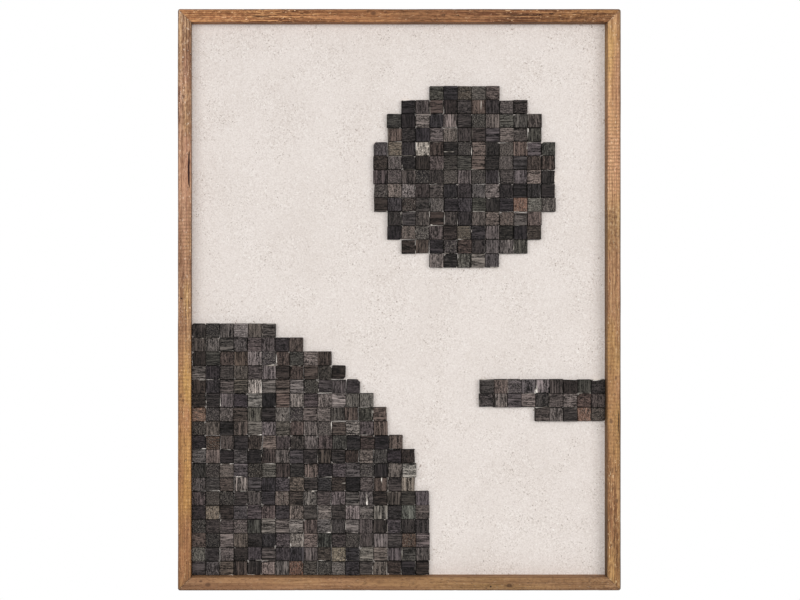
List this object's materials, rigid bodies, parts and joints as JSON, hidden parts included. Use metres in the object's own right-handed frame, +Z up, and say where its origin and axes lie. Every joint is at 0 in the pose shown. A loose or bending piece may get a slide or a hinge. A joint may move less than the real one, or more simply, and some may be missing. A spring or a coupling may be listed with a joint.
{
  "type": "wood relief wall panel",
  "caption": "Wall panel: a deep mitred wooden tray frame around a cream paper ground, with dark weathered wood squares glued on as an abstract relief of a hill, a disc and a ledge.",
  "frame": {"origin": "centre of the top rail's back face, which lies on the wall, 12 mm below the panel's top edge", "axes": "+X to the right as seen from the front, +Y back into the wall, +Z up"},
  "size_m": [0.8, 0.045, 1.05],
  "materials": {
    "old_wood": "waxed old softwood, warm brown, worn at the edges, with dark streaks and nail holes",
    "dark_wood": "dark weathered wood, dry, deep grain, charcoal to brown and grey",
    "pulp_paper": "matte cream pulp paper with fine dark flecks",
    "plywood": "raw plywood",
    "zinc_steel": "zinc plated, dull"
  },
  "bodies": {
    "root": {"rail_top": "old_wood", "rail_bottom": "old_wood", "rail_left": "old_wood", "rail_right": "old_wood", "backing_board": "plywood", "paper_ground": "pulp_paper", "hill_row_01": "dark_wood", "hill_row_02": "dark_wood", "hill_row_03": "dark_wood", "hill_row_04": "dark_wood", "hill_row_05": "dark_wood", "hill_row_06": "dark_wood", "hill_row_07": "dark_wood", "hill_row_08": "dark_wood", "hill_row_09": "dark_wood", "hill_row_10": "dark_wood", "hill_row_11": "dark_wood", "hill_row_12": "dark_wood", "hill_row_13": "dark_wood", "hill_row_14": "dark_wood", "hill_row_15": "dark_wood", "hill_row_16": "dark_wood", "hill_row_17": "dark_wood", "hill_row_18": "dark_wood", "disc_row_01": "dark_wood", "disc_row_02": "dark_wood", "disc_row_03": "dark_wood", "disc_row_04": "dark_wood", "disc_row_05": "dark_wood", "disc_row_06": "dark_wood", "disc_row_07": "dark_wood", "disc_row_08": "dark_wood", "disc_row_09": "dark_wood", "disc_row_10": "dark_wood", "disc_row_11": "dark_wood", "disc_row_12": "dark_wood", "disc_row_13": "dark_wood", "ledge_row_01": "dark_wood", "ledge_row_02": "dark_wood", "ledge_row_03": "dark_wood", "hanger_left": "zinc_steel", "hanger_right": "zinc_steel", "hanger_left_nail_inner": "zinc_steel", "hanger_left_nail_outer": "zinc_steel", "hanger_right_nail_inner": "zinc_steel", "hanger_right_nail_outer": "zinc_steel"}
  },
  "joints": []
}
